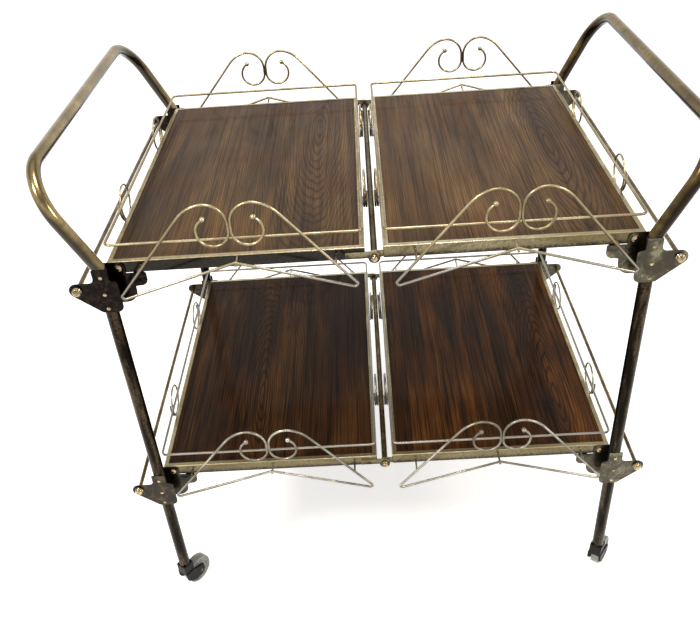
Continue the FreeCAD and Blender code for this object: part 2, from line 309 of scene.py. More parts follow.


# patch is the clouds' size, stainShare the specks' darkness, rub what worn spots keep of the painted
# shade
def agedPlate(name, clean, dull, stain, patch=45, stainShare=0.5, smooth=0.24, rough=0.46, coat=0.35,
              grit=0.02, under="#2b2216", underShare=0.0, underFrom=0.3, underTo=-0.5,
              run=(1, 1, 1), bare=None, rub=1.0, footDarkening=0.0):
    # brass plate on drawn steel, under old lacquer; the under colour on faces turned from up is painted
    # shade, thinned where rubbed
    material, tree, shader, place = newMaterial(name)
    drawn = addNode(tree, "Mapping", {"Scale": run}, {"Vector": place}).outputs["Vector"]
    clouds = addNode(tree, "TexNoise",
                     {"Scale": 1000 / patch, "Detail": 5.0, "Roughness": 0.62, "Distortion": 0.6},
                     {"Vector": drawn}).outputs["Fac"]
    colour = addNode(tree, "ValToRGB", {"stops": [(0.38, dull), (0.62, clean)]},
                     {"Fac": clouds}).outputs["Color"]
    specks = addNode(tree, "TexNoise",
                     {"Scale": 1000 / wear["speck"], "Detail": 6.0, "Roughness": 0.7, "Distortion": 0.3},
                     {"Vector": place}).outputs["Fac"]
    spread = addNode(tree, "Math", {"operation": "MULTIPLY"}, {0: specks, 1: clouds}).outputs[0]
    marks = addNode(tree, "MapRange", {"range": (0.22, 0.36, stainShare, 0)},
                    {"Value": spread}).outputs[0]
    layers = [(stain, marks)]  # each colour with the mask that lays it over the last
    if bare or footDarkening:
        level = addNode(tree, "SeparateXYZ", links={"Vector": place}).outputs["Z"]
    if bare:  # the brass has gone from the lower wires and the white metal under it shows
        worn = addNode(tree, "MapRange", {"range": (mm(wear["bareFrom"]), mm(wear["bareTo"]), 0, 0.85)},
                       {"Value": level}).outputs[0]
        layers.append((bare, worn))
    # painted shade: faces that turn from up, made uneven by the clouds, take the under colour up to
    # underShare
    facing = addNode(tree, "TexCoord").outputs["Normal"]
    upward = addNode(tree, "SeparateXYZ", links={"Vector": facing}).outputs["Z"]
    uneven = addNode(tree, "Math", {"operation": "MULTIPLY_ADD", 1: 0.5, 2: -0.25},
                     {0: clouds}).outputs[0]
    turned = addNode(tree, "Math", {"operation": "ADD"}, {0: upward, 1: uneven}).outputs[0]
    paintedShade = addNode(tree, "MapRange", {"range": (underTo, underFrom, underShare, 0)},
                        {"Value": turned}).outputs[0]
    rubbed = addNode(tree, "MapRange", {"range": (0.4, 0.66, 1, rub)}, {"Value": specks}).outputs[0]
    darkened = addNode(tree, "Math", {"operation": "MULTIPLY"}, {0: paintedShade, 1: rubbed}).outputs[0]
    layers.append((under, darkened))
    if footDarkening:  # darker along the foot of each tier's rails, with a ragged top, the same on both tiers
        foot, halfGap = mm(wear["railFoot"]), mm(tierDrop["upper"] - tierDrop["lower"]) / 2
        nearest = addNode(tree, "Math", {"operation": "WRAP", 1: foot + halfGap, 2: foot - halfGap},
                          {0: level}).outputs[0]
        torn = addNode(tree, "Math", {"operation": "MULTIPLY_ADD", 1: -mm(wear["footBandTear"])},
                       {0: specks, 2: nearest}).outputs[0]
        footBand = addNode(tree, "MapRange",
                         {"range": (foot - mm(wear["footBandTop"]), foot - mm(wear["footBandLow"]), footDarkening, 0)},
                         {"Value": torn}).outputs[0]
        layers.append((wear["footTone"], footBand))
    for code, mask in layers:
        colour = addNode(tree, "Mix", {"data_type": "RGBA", 7: ink(code)},
                         {0: mask, 6: colour}).outputs[2]
    dullness = addNode(tree, "MapRange", {"range": (0.3, 0.7, rough, smooth)},
                       {"Value": clouds}).outputs[0]
    if grit > 0:
        relief = addNode(tree, "TexNoise", {"Scale": 1000 / wear["relief"], "Detail": 3.0},
                         {"Vector": place}).outputs["Fac"]
        bump = addNode(tree, "Bump", {"Strength": 0.35, "Distance": mm(grit)},
                       {"Height": relief}).outputs["Normal"]
        setNode(tree, shader, links={"Normal": bump})
    setNode(tree, shader, {"Metallic": 1.0, "Coat Weight": coat, "Coat Roughness": 0.12},
            {"Base Color": colour, "Roughness": dullness})
    return material


# sizes of the wood's figure, and widths as a share of the length
# veinGap is the spacing 420 mm from the heart, which widens to 3.4 mm at 100 mm from it
figure = {"flow": 111.111, "wander": 16.6667, "streak": 38.4615, "blush": 142.857, "pore": 2.77778,
          "polish": 71.4286, "veinGap": 2.04, "crowding": 1.35, "ovalWidth": 0.15,
          "streakWidth": 0.1, "poreWidth": 0.012}


def veneer(name, light, middle, dark, blush, vein, heart, seed, gloss, poreShare):
    # rosewood-figured laminate, pressed and varnished: fine dark veins that part round a heart, and
    # short pores, drawn several times too wide so that they show
    material, tree, shader, place = newMaterial(name)
    width = figure["ovalWidth"]
    lie = addNode(tree, "Mapping",
                  {"Location": (seed, seed * 0.7, 0), "Scale": (1, figure["streakWidth"], 1)},
                  {"Vector": place}).outputs["Vector"]
    oval = addNode(tree, "Mapping",
                   {"Location": (-mm(heart[0]), -mm(heart[1]) * width, 0), "Scale": (1, width, 0)},
                   {"Vector": place}).outputs["Vector"]
    ring = addNode(tree, "VectorMath", {"operation": "LENGTH"}, {0: oval}).outputs["Value"]
    flow = addNode(tree, "TexNoise", {"Scale": 1000 / figure["flow"], "Detail": 4.0},
                   {"Vector": lie}).outputs["Fac"]
    wander = addNode(tree, "TexNoise",
                     {"Scale": 1000 / figure["wander"], "Detail": 3.0, "Roughness": 0.6},
                     {"Vector": lie}).outputs["Fac"]
    bent = addNode(tree, "Math", {"operation": "MULTIPLY_ADD", 1: 0.05}, {0: flow, 2: ring}).outputs[0]
    ragged = addNode(tree, "Math", {"operation": "MULTIPLY_ADD", 1: 0.006},
                     {0: wander, 2: bent}).outputs[0]
    crowded = addNode(tree, "Math", {"operation": "POWER", 1: figure["crowding"]},
                      {0: ragged}).outputs[0]
    phase = addNode(tree, "Math", {"operation": "MULTIPLY", 1: 2 * pi * 1000 / figure["veinGap"]},
                    {0: crowded}).outputs[0]
    wave = addNode(tree, "Math", {"operation": "SINE"}, {0: phase}).outputs[0]
    strength = addNode(tree, "MapRange", {"range": (0.012, 0.085, 0.7, 0.45)},
                       {"Value": bent}).outputs[0]
    veins = addNode(tree, "MapRange", {"range": (0.1, 0.95, 0, 1)}, {"Value": wave}).outputs[0]
    veinMask = addNode(tree, "Math", {"operation": "MULTIPLY"}, {0: veins, 1: strength}).outputs[0]
    streaks = addNode(tree, "TexNoise",
                      {"Scale": 1000 / figure["streak"], "Detail": 5.0, "Roughness": 0.65,
                       "Distortion": 0.3}, {"Vector": lie}).outputs["Fac"]
    colour = addNode(tree, "ValToRGB", {"stops": [(0.34, dark), (0.5, middle), (0.66, light)]},
                     {"Fac": streaks}).outputs["Color"]
    tint = addNode(tree, "TexNoise", {"Scale": 1000 / figure["blush"]}, {"Vector": place}).outputs["Fac"]
    blushed = addNode(tree, "MapRange", {"range": (0.48, 0.62, 0, 0.55)}, {"Value": tint}).outputs[0]
    grain = addNode(tree, "Mapping", {"Scale": (1, figure["poreWidth"], 1)},
                    {"Vector": place}).outputs["Vector"]
    pores = addNode(tree, "TexNoise", {"Scale": 1000 / figure["pore"], "Detail": 2.5, "Roughness": 0.7},
                    {"Vector": grain}).outputs["Fac"]
    poreMask = addNode(tree, "MapRange", {"range": (0.47, 0.62, 0, poreShare)},
                       {"Value": pores}).outputs[0]
    for code, mask in ((blush, blushed), (vein, veinMask), (vein, poreMask)):
        colour = addNode(tree, "Mix", {"data_type": "RGBA", 7: ink(code)},
                         {0: mask, 6: colour}).outputs[2]
    polish = addNode(tree, "TexNoise", {"Scale": 1000 / figure["polish"], "Detail": 4.0},
                     {"Vector": place}).outputs["Fac"]
    dullness = addNode(tree, "MapRange", {"range": (0.3, 0.7, 0.34, 0.5)}, {"Value": polish}).outputs[0]
    bump = addNode(tree, "Bump", {"Strength": 0.1, "Distance": mm(0.02)},
                   {"Height": pores}).outputs["Normal"]
    setNode(tree, shader, {"Specular IOR Level": 0.06, "Coat Weight": gloss, "Coat Roughness": 0.1},
            {"Base Color": colour, "Roughness": dullness, "Normal": bump})
    return material


def paintedCasting(name, colour, worn, patch):
    # black stoved paint on the casters' steel, rubbed brown on its high places
    material, tree, shader, place = newMaterial(name)
    clouds = addNode(tree, "TexNoise", {"Scale": 1000 / patch, "Detail": 5.0, "Roughness": 0.65},
                     {"Vector": place}).outputs["Fac"]
    tone = addNode(tree, "ValToRGB", {"stops": [(0.42, colour), (0.72, worn)]},
                   {"Fac": clouds}).outputs["Color"]
    dullness = addNode(tree, "MapRange", {"range": (0, 1, 0.28, 0.55)}, {"Value": clouds}).outputs[0]
    bump = addNode(tree, "Bump", {"Strength": 0.4, "Distance": mm(0.08)},
                   {"Height": clouds}).outputs["Normal"]
    setNode(tree, shader, {"Specular IOR Level": 0.12},
            {"Base Color": tone, "Roughness": dullness, "Normal": bump})
    return material


def cloudedNylon(name, clean, grimy, patch):
    # moulded nylon, a little see-through at its edges, scuffed grey where it rolls
    material, tree, shader, place = newMaterial(name)
    clouds = addNode(tree, "TexNoise", {"Scale": 1000 / patch, "Detail": 6.0, "Roughness": 0.7},
                     {"Vector": place}).outputs["Fac"]
    tone = addNode(tree, "ValToRGB", {"stops": [(0.35, grimy), (0.62, clean)]},
                   {"Fac": clouds}).outputs["Color"]
    dullness = addNode(tree, "MapRange", {"range": (0, 1, 0.45, 0.3)}, {"Value": clouds}).outputs[0]
    bump = addNode(tree, "Bump", {"Strength": 0.3, "Distance": mm(0.05)},
                   {"Height": clouds}).outputs["Normal"]
    setNode(tree, shader, {"Subsurface Weight": 0.35, "Subsurface Radius": (0.004, 0.004, 0.0035)},
            {"Base Color": tone, "Roughness": dullness, "Normal": bump})
    return material


# golden brass, bright on top and near black below: the dark is painted shade by which way each face
# turns
handleFinishAndShade = {"smooth": 0.13, "grit": 0.0, "underShare": 0.95, "underFrom": 0.42, "underTo": 0.14}
handleBrass = {"left": agedPlate("left handle brass plate", "#b8a16a", "#8f784c", "#4c3b20", patch=140,
                                 stainShare=0.4, rough=0.24, coat=0.6, under="#1a130a", **handleFinishAndShade),
               "right": agedPlate("right handle brass plate", "#907842", "#6a542b", "#3a2c18",
                                  patch=110, rough=0.26, coat=0.25, under="#171009", **handleFinishAndShade)}
# nearly black tubes with bronze streaks down them
legBronze = agedPlate("leg darkened brass plate", "#4c4031", "#1e1710", "#0a0806", patch=12, coat=0.0,
                      stainShare=0.8, rough=0.4, grit=0.03, run=(1, 1, 0.12))
# pale plate, darker along its foot, its lip pale and its faces turned from up in painted shade; on one
# rail that painted shade is near black and also stands for the rail's own tarnish
railWearAndShade = {"patch": 60, "stainShare": 0.4, "underFrom": 0.6, "underTo": 0.3, "run": (0.25, 1, 1)}
railBrass = agedPlate("rail brass plate", "#f0e2bb", "#d8c592", "#7a6740", under="#4a4126",
                      underShare=0.9, rub=0.86, footDarkening=0.9, **railWearAndShade)
railTarnished = agedPlate("rail tarnished plate", "#ecd9ae", "#cfb885", "#6b5636", under="#140f0b",
                          underShare=1.0, rub=0.985, **railWearAndShade)
# dull brown-gold bar, darker underneath as painted shade
rodBrass = agedPlate("rod brass plate", "#a8936a", "#85724f", "#40321f", patch=40, underShare=0.9,
                     underTo=-0.3)
# straw-coloured wire, bare and white lower down, and wire gone grey, both with painted shade on their
# undersides
wireFinishAndShade = {"patch": 90, "rough": 0.36, "grit": 0.0, "underTo": -0.25}
wireBrass = agedPlate("wire pale brass plate", "#dccba0", "#b09a6e", "#594a30", stainShare=0.3,
                      under="#2e2415", underShare=0.9, underFrom=0.45, bare="#aaa69c", **wireFinishAndShade)
wireNickel = agedPlate("wire greyed plate", "#cfc8b6", "#978e7a", "#453c30", stainShare=0.4,
                       under="#1f1a14", underShare=0.95, underFrom=0.42, **wireFinishAndShade)
# small heads that catch the light
nutBrass = agedPlate("nut bright brass plate", "#cbb793", "#9f8a66", "#4d3c26", patch=6, smooth=0.14,
                     rough=0.26)
# steel that shows through as mottled black, brown and grey
bracketBlack = agedPlate("bracket blackened plate", "#2b1f18", "#110c09", "#060403", patch=7,
                         stainShare=0.9, smooth=0.16, rough=0.5, coat=0.12, grit=0.06)
bracketBrown = agedPlate("bracket browned plate", "#4b3d26", "#2a2115", "#120d08", patch=12,
                         stainShare=0.8, smooth=0.22, grit=0.05)
bracketGrey = agedPlate("bracket greyed plate", "#716d58", "#4c4735", "#29241a", patch=22,
                        stainShare=0.75, rough=0.42, grit=0.04)
# dark brown boards, greyer on the upper tier and redder on the lower; the lower tier's darker tones are
# painted shade from the tier above
panelVeneer = {
    "upper_left": veneer("upper left veneer", "#654b2d", "#4d3a24", "#37291b", "#523624", "#1a110b",
                         heart=(-78, 140), seed=0.37, gloss=0.15, poreShare=0.62),
    "upper_right": veneer("upper right veneer", "#705433", "#584127", "#412f1c", "#593c25", "#1c120b",
                          heart=(284, 20), seed=1.82, gloss=0.15, poreShare=0.62),
    "lower_left": veneer("lower left veneer in painted shade", "#60401f", "#412a16", "#26180d", "#482b17", "#0a0603",
                         heart=(-205, -110), seed=2.63, gloss=0.2, poreShare=0.72),
    "lower_right": veneer("lower right veneer in painted shade", "#77491f", "#472d17", "#291a0d", "#4c2d18", "#0a0603",
                          heart=(292, -150), seed=4.1, gloss=0.2, poreShare=0.72)}
casterPaint = paintedCasting("caster stoved paint", "#0a0706", "#1f1712", patch=11.1111)
wheelNylon = cloudedNylon("wheel clouded nylon", "#a4a59f", "#6d6e69", patch=8.33333)
print("materials made")


# the end frames: four legs, and a handle over each pair
legTube = {"x": 356, "y": 280, "radius": 9, "foot": 64, "top": 656, "wall": 1.4, "socket": 12,
           "edge": 0.4, "sides": 36}
handleTube = {"lean": 66, "rise": 126, "endBend": 18, "cornerBend": 66, "bendStart": 6}


def makeLeg():
    leg = legTube
    bpy.ops.mesh.primitive_cylinder_add(
        vertices=leg["sides"], radius=mm(leg["radius"]), depth=mm(leg["top"] - leg["foot"]),
        location=spot(leg["x"], -leg["y"], (leg["top"] + leg["foot"]) / 2))
    tube = settle(bpy.context.object)
    pick(tube, "FACE", lambda face: face.center.z < mm(leg["foot"] + 1) and face.normal.z < -0.9)
    bpy.ops.mesh.inset(thickness=mm(leg["wall"]))
    extrude(0, 0, leg["socket"])
    closeMesh()
    softenEdges(tube, leg["edge"])
    return tube


def makeHandle():
    handle, leg = handleTube, legTube
    top = upperLevel + handle["rise"]
    outer = leg["x"] + handle["lean"]
    bendStart = leg["top"] + handle["bendStart"]
    corners = [spot(leg["x"], -leg["y"], leg["top"]), spot(leg["x"], -leg["y"], bendStart),
               spot(outer, -leg["y"], top), spot(outer, leg["y"], top),
               spot(leg["x"], leg["y"], bendStart), spot(leg["x"], leg["y"], leg["top"])]
    radii = [handle[bend] for bend in ("endBend", "cornerBend", "cornerBend", "endBend")]
    return settle(giveThickness(drawPath("handle", corners, radii, stride=4), leg["radius"],
                                leg["sides"]))


legMaster, handleMaster = makeLeg(), makeHandle()
for side in ends:
    for row in rows:
        names = "%s_%s" % (side, row)
        finishPiece(placedCopy(legMaster, side, row), "legTube_" + names, legBronze,
                    "leg_" + names)
    finishPiece(placedCopy(handleMaster, side), "handleTube_" + side, handleBrass[side],
                "handle_" + side)
dropMasters(legMaster, handleMaster)
print("legs and handles made")


# corner brackets in two layers, with their rivets, tie rods, cap nuts and pivot pins
bracketPlate = {"thickness": 1.5, "innerDepth": 270.5, "outerDepth": 288}
# corners from the leg's axis and the tier's level: x, z and the corner's radius
outerOutline = [(-10.5, 0, 2), (10.5, 0, 2), (10.5, -19.5, 7), (64.2, -19.5, 10.5), (8, -66, 7),
                (-20.5, -66, 9), (-20.5, -19.5, 3), (-10.5, -17, 4)]
innerOutline = [(10.5, 0, 2), (10.5, -62.5, 10), (-37.5, -62.5, 17), (-37.5, -38, 2.5), (-55, -37, 9.3),
                (-55, -17.4, 2), (-29, -17.4, 0), (-29, 0, 9)]
shelf = {"start": -52, "length": 14, "depth": 10, "z": -18.2, "edge": 0.6}
rivet = {"radius": 2.6, "height": 1.3, "places": (-12, -38, -60)}
tieRod = {"x": 391, "drop": 30, "radius": 3, "reach": 293.5, "chamfer": 0.5}
nut = {"radius": 6.2, "centreRadius": 4.7, "height": 7}
pin = {"x": 336, "drop": 9, "radius": 5, "height": 1.9}


def makeBracketPlate(name, outline, depth):
    return cutSheet(name, [(legTube["x"] + x, upperLevel + z, radius) for x, z, radius in outline],
                    depth, bracketPlate["thickness"])


def makeShelf():
    # the flange of the inner plate, which the rail rests on
    thickness = bracketPlate["thickness"]
    middle = spot(legTube["x"] + shelf["start"] + shelf["length"] / 2,
                  shelf["depth"] / 2 - bracketPlate["innerDepth"] - thickness,
                  upperLevel + shelf["z"])
    bpy.ops.mesh.primitive_cube_add(size=1, location=middle,
                                    scale=spot(shelf["length"], shelf["depth"], thickness))
    flange = settle(bpy.context.object)
    softenEdges(flange, shelf["edge"], 3)
    return flange


def makeDome(name, radius, height, place):
    # a low round head on the front of a plate
    profile = [(0, 0), (0, radius), (height * 0.35, radius * 0.97), (height * 0.7, radius * 0.76),
               (height * 0.92, radius * 0.42), (height, 0)]
    return turnedPiece(name, profile, place, toFront, 20)


def makeNut(name, radius, x, depth, z):
    # a round cap nut with a knurled skirt and a polished dome
    skirt = [(0.5 * k, radius * (0.96 if k % 2 else 0.9)) for k in range(7)]
    dome = [(3.4, radius * 0.95), (4.4, radius * 0.93), (5.4, radius * 0.8), (6.2, radius * 0.58),
            (6.75, radius * 0.32), (nut["height"], 0)]
    return turnedPiece(name, [(0, 0)] + skirt + dome, spot(x, -depth, z), toFront)


def makeRod(name, x, z, reach, sleeve=None):
    # a plain rod, with a spacer tube over its middle when a sleeve is given
    radius, chamfer = tieRod["radius"], tieRod["chamfer"]
    half = [(reach, 0), (reach, radius - chamfer), (reach - chamfer, radius)]
    if sleeve:
        half += [(sleeve["reach"], radius), (sleeve["reach"], sleeve["radius"])]
    return turnedPiece(name, bothEnds(half), spot(x, 0, z), toRear, 24)


innerFace = bracketPlate["innerDepth"] + bracketPlate["thickness"]
outerFace = bracketPlate["outerDepth"] + bracketPlate["thickness"]
outerMaster = makeBracketPlate("outerPlate", outerOutline, bracketPlate["outerDepth"])
innerMaster = joined([makeBracketPlate("innerPlate", innerOutline, bracketPlate["innerDepth"]),
                      makeShelf()])
rivetMaster = joined([makeDome("rivet", rivet["radius"], rivet["height"],
                               spot(legTube["x"], -outerFace, upperLevel + z))
                      for z in rivet["places"]])
nutMaster = makeNut("nut", nut["radius"], tieRod["x"], outerFace, upperLevel - tieRod["drop"])
rodMaster = makeRod("rod", tieRod["x"], upperLevel - tieRod["drop"], tieRod["reach"])
pinMaster = makeDome("pin", pin["radius"], pin["height"],
                     spot(pin["x"], -innerFace, upperLevel - pin["drop"]))
for side in ends:
    for tier, drop in tierDrop.items():
        names = "%s_%s" % (tier, side)
        plateFinish = bracketBlack if tier == "upper" else bracketBrown
        if side == "right":
            plateFinish = bracketGrey
        finishPiece(frontAndRear(outerMaster, side, drop), "outerBrackets_" + names, plateFinish,
                    "outer_plates_" + names, smooth=30)
        finishPiece(frontAndRear(innerMaster, side, drop), "innerBrackets_" + names, plateFinish,
                    "inner_plates_" + names, smooth=30)
        finishPiece(frontAndRear(rivetMaster, side, drop), "rivets_" + names, nutBrass,
                    body=side + "_end")
        finishPiece(placedCopy(rodMaster, side, "front", (0, 0, drop)), "tieRod_" + names, rodBrass,
                    "tie_rod_" + names)
    for master, name, node in ((nutMaster, "capNuts_", "rod_nuts_"),
                               (pinMaster, "pivotRivets_", "pivot_pins_")):
        both = joined([frontAndRear(master, side, drop) for drop in tierDrop.values()])
        finishPiece(both, name + side, nutBrass, node + side)
dropMasters(outerMaster, innerMaster, rivetMaster, nutMaster, rodMaster, pinMaster)
print("brackets, rods and nuts made")


# the trays, each a folded rail round a veneered board
tray = {"start": 12, "length": 338, "depth": 540, "height": 17, "lip": 7, "ledge": 8, "sheet": 1.4,
        "edge": 1.6}
panel = {"inset": 1.5, "top": -1.5, "bottom": -15.5, "faceInset": 5.7, "faceRise": 1.0, "edge": 0.3}
trayMiddle = tray["start"] + tray["length"] / 2


def makeFrame():
    # folded rail: top lip, outer wall and ledge, with a rolled upper edge
    length, depth = tray["length"], tray["depth"]
    bpy.ops.mesh.primitive_plane_add(size=1, location=spot(trayMiddle, 0, upperLevel))
    rail = bpy.context.object
    rail.scale = spot(length, depth, 1000)
    settle(rail)
    openMesh(rail, "FACE")
    bpy.ops.mesh.inset(thickness=mm(tray["lip"]))
    bpy.ops.mesh.delete(type="FACE")
    closeMesh()

    def onRim(edge):
        # both its ends are within 0.1 mm of the outer wall
        return all(abs(end.x - mm(trayMiddle)) > mm(length / 2 - 0.1)
                   or abs(end.y) > mm(depth / 2 - 0.1) for end in edgeEnds(rail, edge))

    pick(rail, "EDGE", onRim)
    extrude(0, 0, -tray["height"])
    extrude(0, 0, 0)  # a second ring at the foot, drawn in to make the ledge
    shrink = ((length - 2 * tray["ledge"]) / length, (depth - 2 * tray["ledge"]) / depth, 1)
    bpy.ops.transform.resize(value=shrink,
                             center_override=spot(trayMiddle, 0, upperLevel - tray["height"]))
    bpy.ops.mesh.select_all(action="SELECT")
    bpy.ops.mesh.normals_make_consistent(inside=False)
    closeMesh()
    # the top edge and the upright corners are rounded, and the foot stays sharp
    pick(rail, "EDGE", lambda edge: onRim(edge)
         and max(end.z for end in edgeEnds(rail, edge)) > mm(upperLevel - 1))
    bpy.ops.mesh.bevel(offset=mm(tray["edge"]), segments=4, affect="EDGES")
    closeMesh()
    useModifier(rail, "SOLIDIFY", thickness=mm(tray["sheet"]), offset=-1, use_even_offset=True)
    return rail


def makePanel():
    # a board whose face stands a little proud of its rebated edge
    length = tray["length"] - 2 * panel["inset"]
    depth = tray["depth"] - 2 * panel["inset"]
    height = panel["top"] - panel["bottom"]
    bpy.ops.mesh.primitive_cube_add(
        size=1, location=spot(trayMiddle, 0, upperLevel + panel["top"] - height / 2))
    board = bpy.context.object
    board.scale = spot(length, depth, height)
    settle(board)
    pick(board, "FACE", lambda face: face.normal.z > 0.9)
    bpy.ops.mesh.inset(thickness=mm(panel["faceInset"]))
    extrude(0, 0, panel["faceRise"])
    closeMesh()
    softenEdges(board, panel["edge"])
    return board


frameMaster, panelMaster = makeFrame(), makePanel()
for side in ends:
    for tier, drop in tierDrop.items():
        names = "%s_%s" % (tier, side)
        plate = railTarnished if names == "upper_left" else railBrass
        finishPiece(placedCopy(frameMaster, side, "front", (0, 0, drop)), "rail_" + names, plate,
                    "frame_" + names, smooth=50)
        finishPiece(placedCopy(panelMaster, side, "front", (0, 0, drop)), "panel_" + names,
                    panelVeneer[names], "board_" + names)
dropMasters(frameMaster, panelMaster)
print("rails and panels made")


# the galleries: a wire loop above each rail, held by coiled rings on its end faces
gallery = {"rise": 24, "radius": 1.9, "corner": 8}
ringCoil = {"radius": 26, "wire": 1.5, "rise": 12, "spread": 125, "turns": 1.4, "pitch": 3.3,
            "start": -55}


def makeGalleryWire():
    half, z = gallery["radius"], upperLevel + gallery["rise"]
    near, far = tray["start"] + half, tray["start"] + tray["length"] - half
    reach = tray["depth"] / 2 - half
    corners = [spot(near, -reach, z), spot(far, -reach, z), spot(far, reach, z),
               spot(near, reach, z)]
    return settle(giveThickness(drawPath("gallery", corners, [gallery["corner"]] * 4, closed=True),
                                gallery["radius"]))


def makeRing(x, outward):
    # a coil of a little over one turn on the end rail's face, which climbs away from it
    coil = ringCoil
    hub = spot(x + outward * coil["wire"], -coil["spread"], upperLevel + coil["rise"])
    start = radians(coil["start"])
    piece = startPath("ring", hub + mm(coil["radius"]) * Vector((0, cos(start), sin(start))))
    swing(hub, Vector((-1, 0, 0)), 2 * pi * coil["turns"], 10)
    closeMesh()
    points = piece.data.vertices
    climb = outward * mm(coil["pitch"]) * coil["turns"]
    for index, point in enumerate(points):
        point.co.x += climb * index / (len(points) - 1)
    return settle(giveThickness(piece, coil["wire"], 10))


galleryMaster = makeGalleryWire()
ringMasters = [makeRing(tray["start"] + tray["length"], 1), makeRing(tray["start"], -1)]
for side in ends:
    for tier, drop in tierDrop.items():
        names = "%s_%s" % (tier, side)
        wires = [placedCopy(galleryMaster, side, "front", (0, 0, drop))]
        wires += [frontAndRear(ring, side, drop) for ring in ringMasters]
        finishPiece(joined(wires), "galleryWire_" + names, wireBrass, "gallery_" + names)
dropMasters(galleryMaster, *ringMasters)
print("galleries made")


# the scrolls: one wire each, drawn round its own middle, with a ball at both ends
scroll = {"wire": 1.9, "apex": 1.5, "foot": (161.5, -47.5), "footBend": 3.5, "curlInner": 1.7,
          "lowZ": 47.5, "highZ": 57.5, "curlRadius": 20.4, "curlSweep": 237, "topRadius": 28.5,
          "armRadius": 50, "armStart": 75, "ball": 3.75, "ballReach": 2, "studDrop": 8.5,
          "middleStudDrop": 3}
stud = {"shank": 1.5, "foot": 1.9, "footLength": 0.8}
scrollDepth = {"left": 292.6, "right": 296.5}
scrollShift = {"upper_left": -3, "upper_right": 1, "lower_left": -5, "lower_right": -4}  # along the tray


def onCircle(centre, radius, degrees):
    return centre + Vector((cos(radians(degrees)), 0, sin(radians(degrees)))) * radius


def touchAngle(point, centre, radius):
    # where the straight run from the point meets the circle
    away = point - centre
    return (atan2(away.z, away.x) + acos(radius / away.length)) * 180 / pi


def makeScroll():
    # apex, foot, arm, curl and ball, with the other half mirrored
    foot = spot(scroll["foot"][0], 0, scroll["foot"][1])
    topHub = spot(scroll["curlInner"] + scroll["topRadius"], 0, scroll["highZ"])
    armHub = onCircle(topHub, mm(scroll["topRadius"] - scroll["armRadius"]), scroll["armStart"])
    curlHub = spot(scroll["curlInner"] + scroll["curlRadius"], 0, scroll["lowZ"])
    armEnd = touchAngle(foot, armHub, mm(scroll["armRadius"]))
    armFoot = onCircle(armHub, mm(scroll["armRadius"]), armEnd)
    piece = settle(drawPath("scroll", [spot(0, 0, scroll["apex"]), foot, armFoot],
                            [scroll["footBend"]]))
    # the wire goes on from the arm's foot
    pick(piece, "VERT", lambda vertex: (vertex.co - armFoot).length < mm(0.05))
    swing(armHub, toFront, radians(scroll["armStart"] - armEnd), 8)
    swing(topHub, toFront, radians(180 - scroll["armStart"]), 8)
    pull(spot(0, 0, scroll["lowZ"] - scroll["highZ"]))
    swing(curlHub, toFront, radians(scroll["curlSweep"]), 8)
    closeMesh()
    useModifier(piece, "MIRROR", use_axis=(True, False, False), merge_threshold=mergeWithin)
    parts = [settle(giveThickness(piece, scroll["wire"]))]
    end = scroll["curlSweep"] - 180
    ball = onCircle(curlHub, mm(scroll["curlRadius"]), end)
    ball = onCircle(ball, mm(scroll["ballReach"]), end + 90)
    for sign in (1, -1):
        bpy.ops.mesh.primitive_uv_sphere_add(segments=20, ring_count=12, radius=mm(scroll["ball"]),
                                             location=(sign * ball.x, 0, ball.z))
        parts.append(settle(bpy.context.object))
    share = (-mm(scroll["studDrop"]) - foot.z) / (armFoot.z - foot.z)
    studX = (foot.x + (armFoot.x - foot.x) * share) * 1000
    return joined(parts), studX


def makeStud(length, x, z):
    # a short peg from the wire back to the rail's face
    foot, shank, step = stud["foot"], stud["shank"], stud["footLength"]
    profile = [(0, 0), (0, foot), (step, shank), (length - step, shank), (length, foot), (length, 0)]
    return turnedPiece("stud", profile, spot(x, 0, z), toRear, 16)


scrollMaster, studX = makeScroll()
for side in ends:
    depth = scrollDepth[side]
    studPlaces = ((0, -scroll["middleStudDrop"]), (studX, -scroll["studDrop"]),
                  (-studX, -scroll["studDrop"]))
    studs = [makeStud(depth - tray["depth"] / 2, x, z) for x, z in studPlaces]
    withStuds = joined([placedCopy(scrollMaster)] + studs)
    for tier, drop in tierDrop.items():
        middle = trayMiddle + scrollShift["%s_%s" % (tier, side)]
        finish = wireBrass if tier == "upper" else wireNickel
        for row in rows:
            names = "%s_%s_%s" % (tier, side, row)
            copy = placedCopy(withStuds, side, row, (middle, -depth, upperLevel + drop))
            finishPiece(copy, "scrollWire_" + names, finish, "scroll_" + names)
    dropMasters(withStuds)
dropMasters(scrollMaster)
print("scrolls made")


# the centre hinges: straps on the rails, turning on a rod with a cap nut at each end
strap = {"sheet": 2, "drop": 15.5, "rise": 9.5, "lap": 26, "lug": 8, "gap": 0.3, "bend": 1.2,
         "lugBend": 7.9, "edge": 0.3, "rodPast": 4}
# the spacer tube ends 0.5 short of the inner straps
sleeve = {"radius": 4.7, "reach": tray["depth"] / 2 - strap["gap"] - strap["sheet"] - 0.5}


def makeStrap(outer):
    # a lug round the centre rod with a tail along the rail
    end = tray["start"] + (strap["lap"] if outer else 0)
    low = upperLevel - strap["drop"]
    lug, bend, lugBend = strap["lug"], strap["bend"], strap["lugBend"]
    depth = tray["depth"] / 2 - (0 if outer else strap["gap"] + strap["sheet"])
    outline = [(end, low + strap["rise"], bend), (end, low, bend), (lug, low, bend),
               (lug, low - lug, lugBend), (-lug, low - lug, lugBend),
               (-lug, low + strap["rise"], lugBend)]
    return cutSheet("strap", outline, depth, strap["sheet"], strap["edge"])


